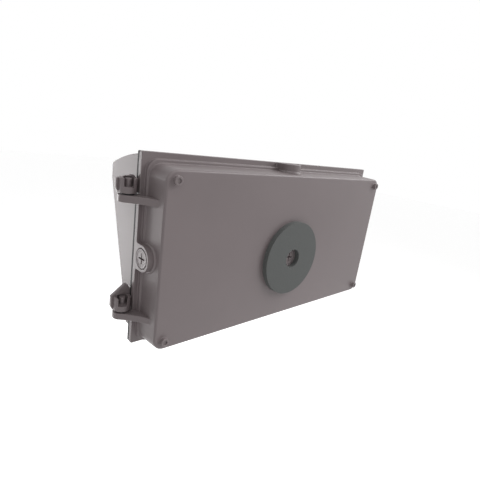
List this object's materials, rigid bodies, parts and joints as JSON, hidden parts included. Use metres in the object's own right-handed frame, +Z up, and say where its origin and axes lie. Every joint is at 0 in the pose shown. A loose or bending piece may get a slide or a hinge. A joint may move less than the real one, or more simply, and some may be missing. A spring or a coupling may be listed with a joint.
{
  "type": "wall pack light",
  "caption": "Outdoor wall light with a shallow cast back box, a side-hinged wedge-shaped door, a slanted lens over light boards, and plugged conduit entries.",
  "frame": {"origin": "middle of the four wall screw holes, on the plane of the rear faces of their bosses", "axes": "+X along the wall towards the hinge side, +Y into the wall, +Z up; the light shines towards -Y and down"},
  "size_m": [0.4581, 0.116, 0.2136],
  "materials": {
    "bronze_paint": "satin bronze-grey powder coat",
    "foam": "closed-cell grey foam",
    "silicone": "dark silicone rubber",
    "black_nylon": "moulded black plastic",
    "aluminium": "plain satin aluminium",
    "potting": "cast resin",
    "ivory_plastic": "moulded ivory plastic",
    "steel": "plain zinc-plated steel",
    "green_screw": "green passivated",
    "black_lead": "smooth insulation",
    "red_lead": "smooth insulation",
    "green_lead": "smooth insulation",
    "white_sheet": "white coated sheet",
    "board_white": "white solder mask",
    "chip_phosphor": "yellow phosphor under clear silicone",
    "reflector_white": "white reflective coat",
    "lens_glass": "clear prismatic moulding"
  },
  "bodies": {
    "housing": {"back_box": "bronze_paint", "wall_gasket": "foam", "rear_conduit_plug": "bronze_paint", "top_conduit_plug": "bronze_paint", "side_conduit_plugs": "bronze_paint", "hinge_pins": "bronze_paint", "hinge_washers": "black_nylon", "driver_case": "aluminium", "driver_lid": "aluminium", "driver_potting": "potting", "driver_bushings": "silicone", "surge_protector": "black_nylon", "terminal_block": "ivory_plastic", "terminal_screws": "steel", "gear_screws": "steel", "ground_screw": "green_screw", "supply_leads": "black_lead", "output_leads": "red_lead", "ground_lead": "green_lead", "led_tray": "white_sheet", "tray_grommet": "silicone", "tray_screws": "steel", "led_boards": "board_white", "led_chips": "chip_phosphor", "board_connectors": "ivory_plastic", "jumper_leads": "red_lead", "board_screws": "steel", "reflector": "reflector_white", "reflector_screws": "steel"},
    "door": {"door_shell": "bronze_paint", "door_gasket": "silicone", "lens": "lens_glass", "lens_gasket": "silicone", "lens_clips": "steel", "lens_clip_screws": "steel"},
    "upper_latch": {"upper_latch_screw": "steel", "upper_latch_washer": "silicone"},
    "lower_latch": {"lower_latch_screw": "steel", "lower_latch_washer": "silicone"}
  },
  "joints": [
    {"name": "door_swing", "type": "hinge", "parent": "housing", "child": "door", "pos_m": [0.2196, -0.0465, 0], "axis": [0, 0, 1], "range_deg": [0, 140]},
    {"name": "upper_latch_draw", "type": "slide", "parent": "door", "child": "upper_latch", "axis": [0, -1, 0], "range_m": [0, 0.013]},
    {"name": "lower_latch_draw", "type": "slide", "parent": "door", "child": "lower_latch", "axis": [0, -1, 0], "range_m": [0, 0.013]}
  ]
}
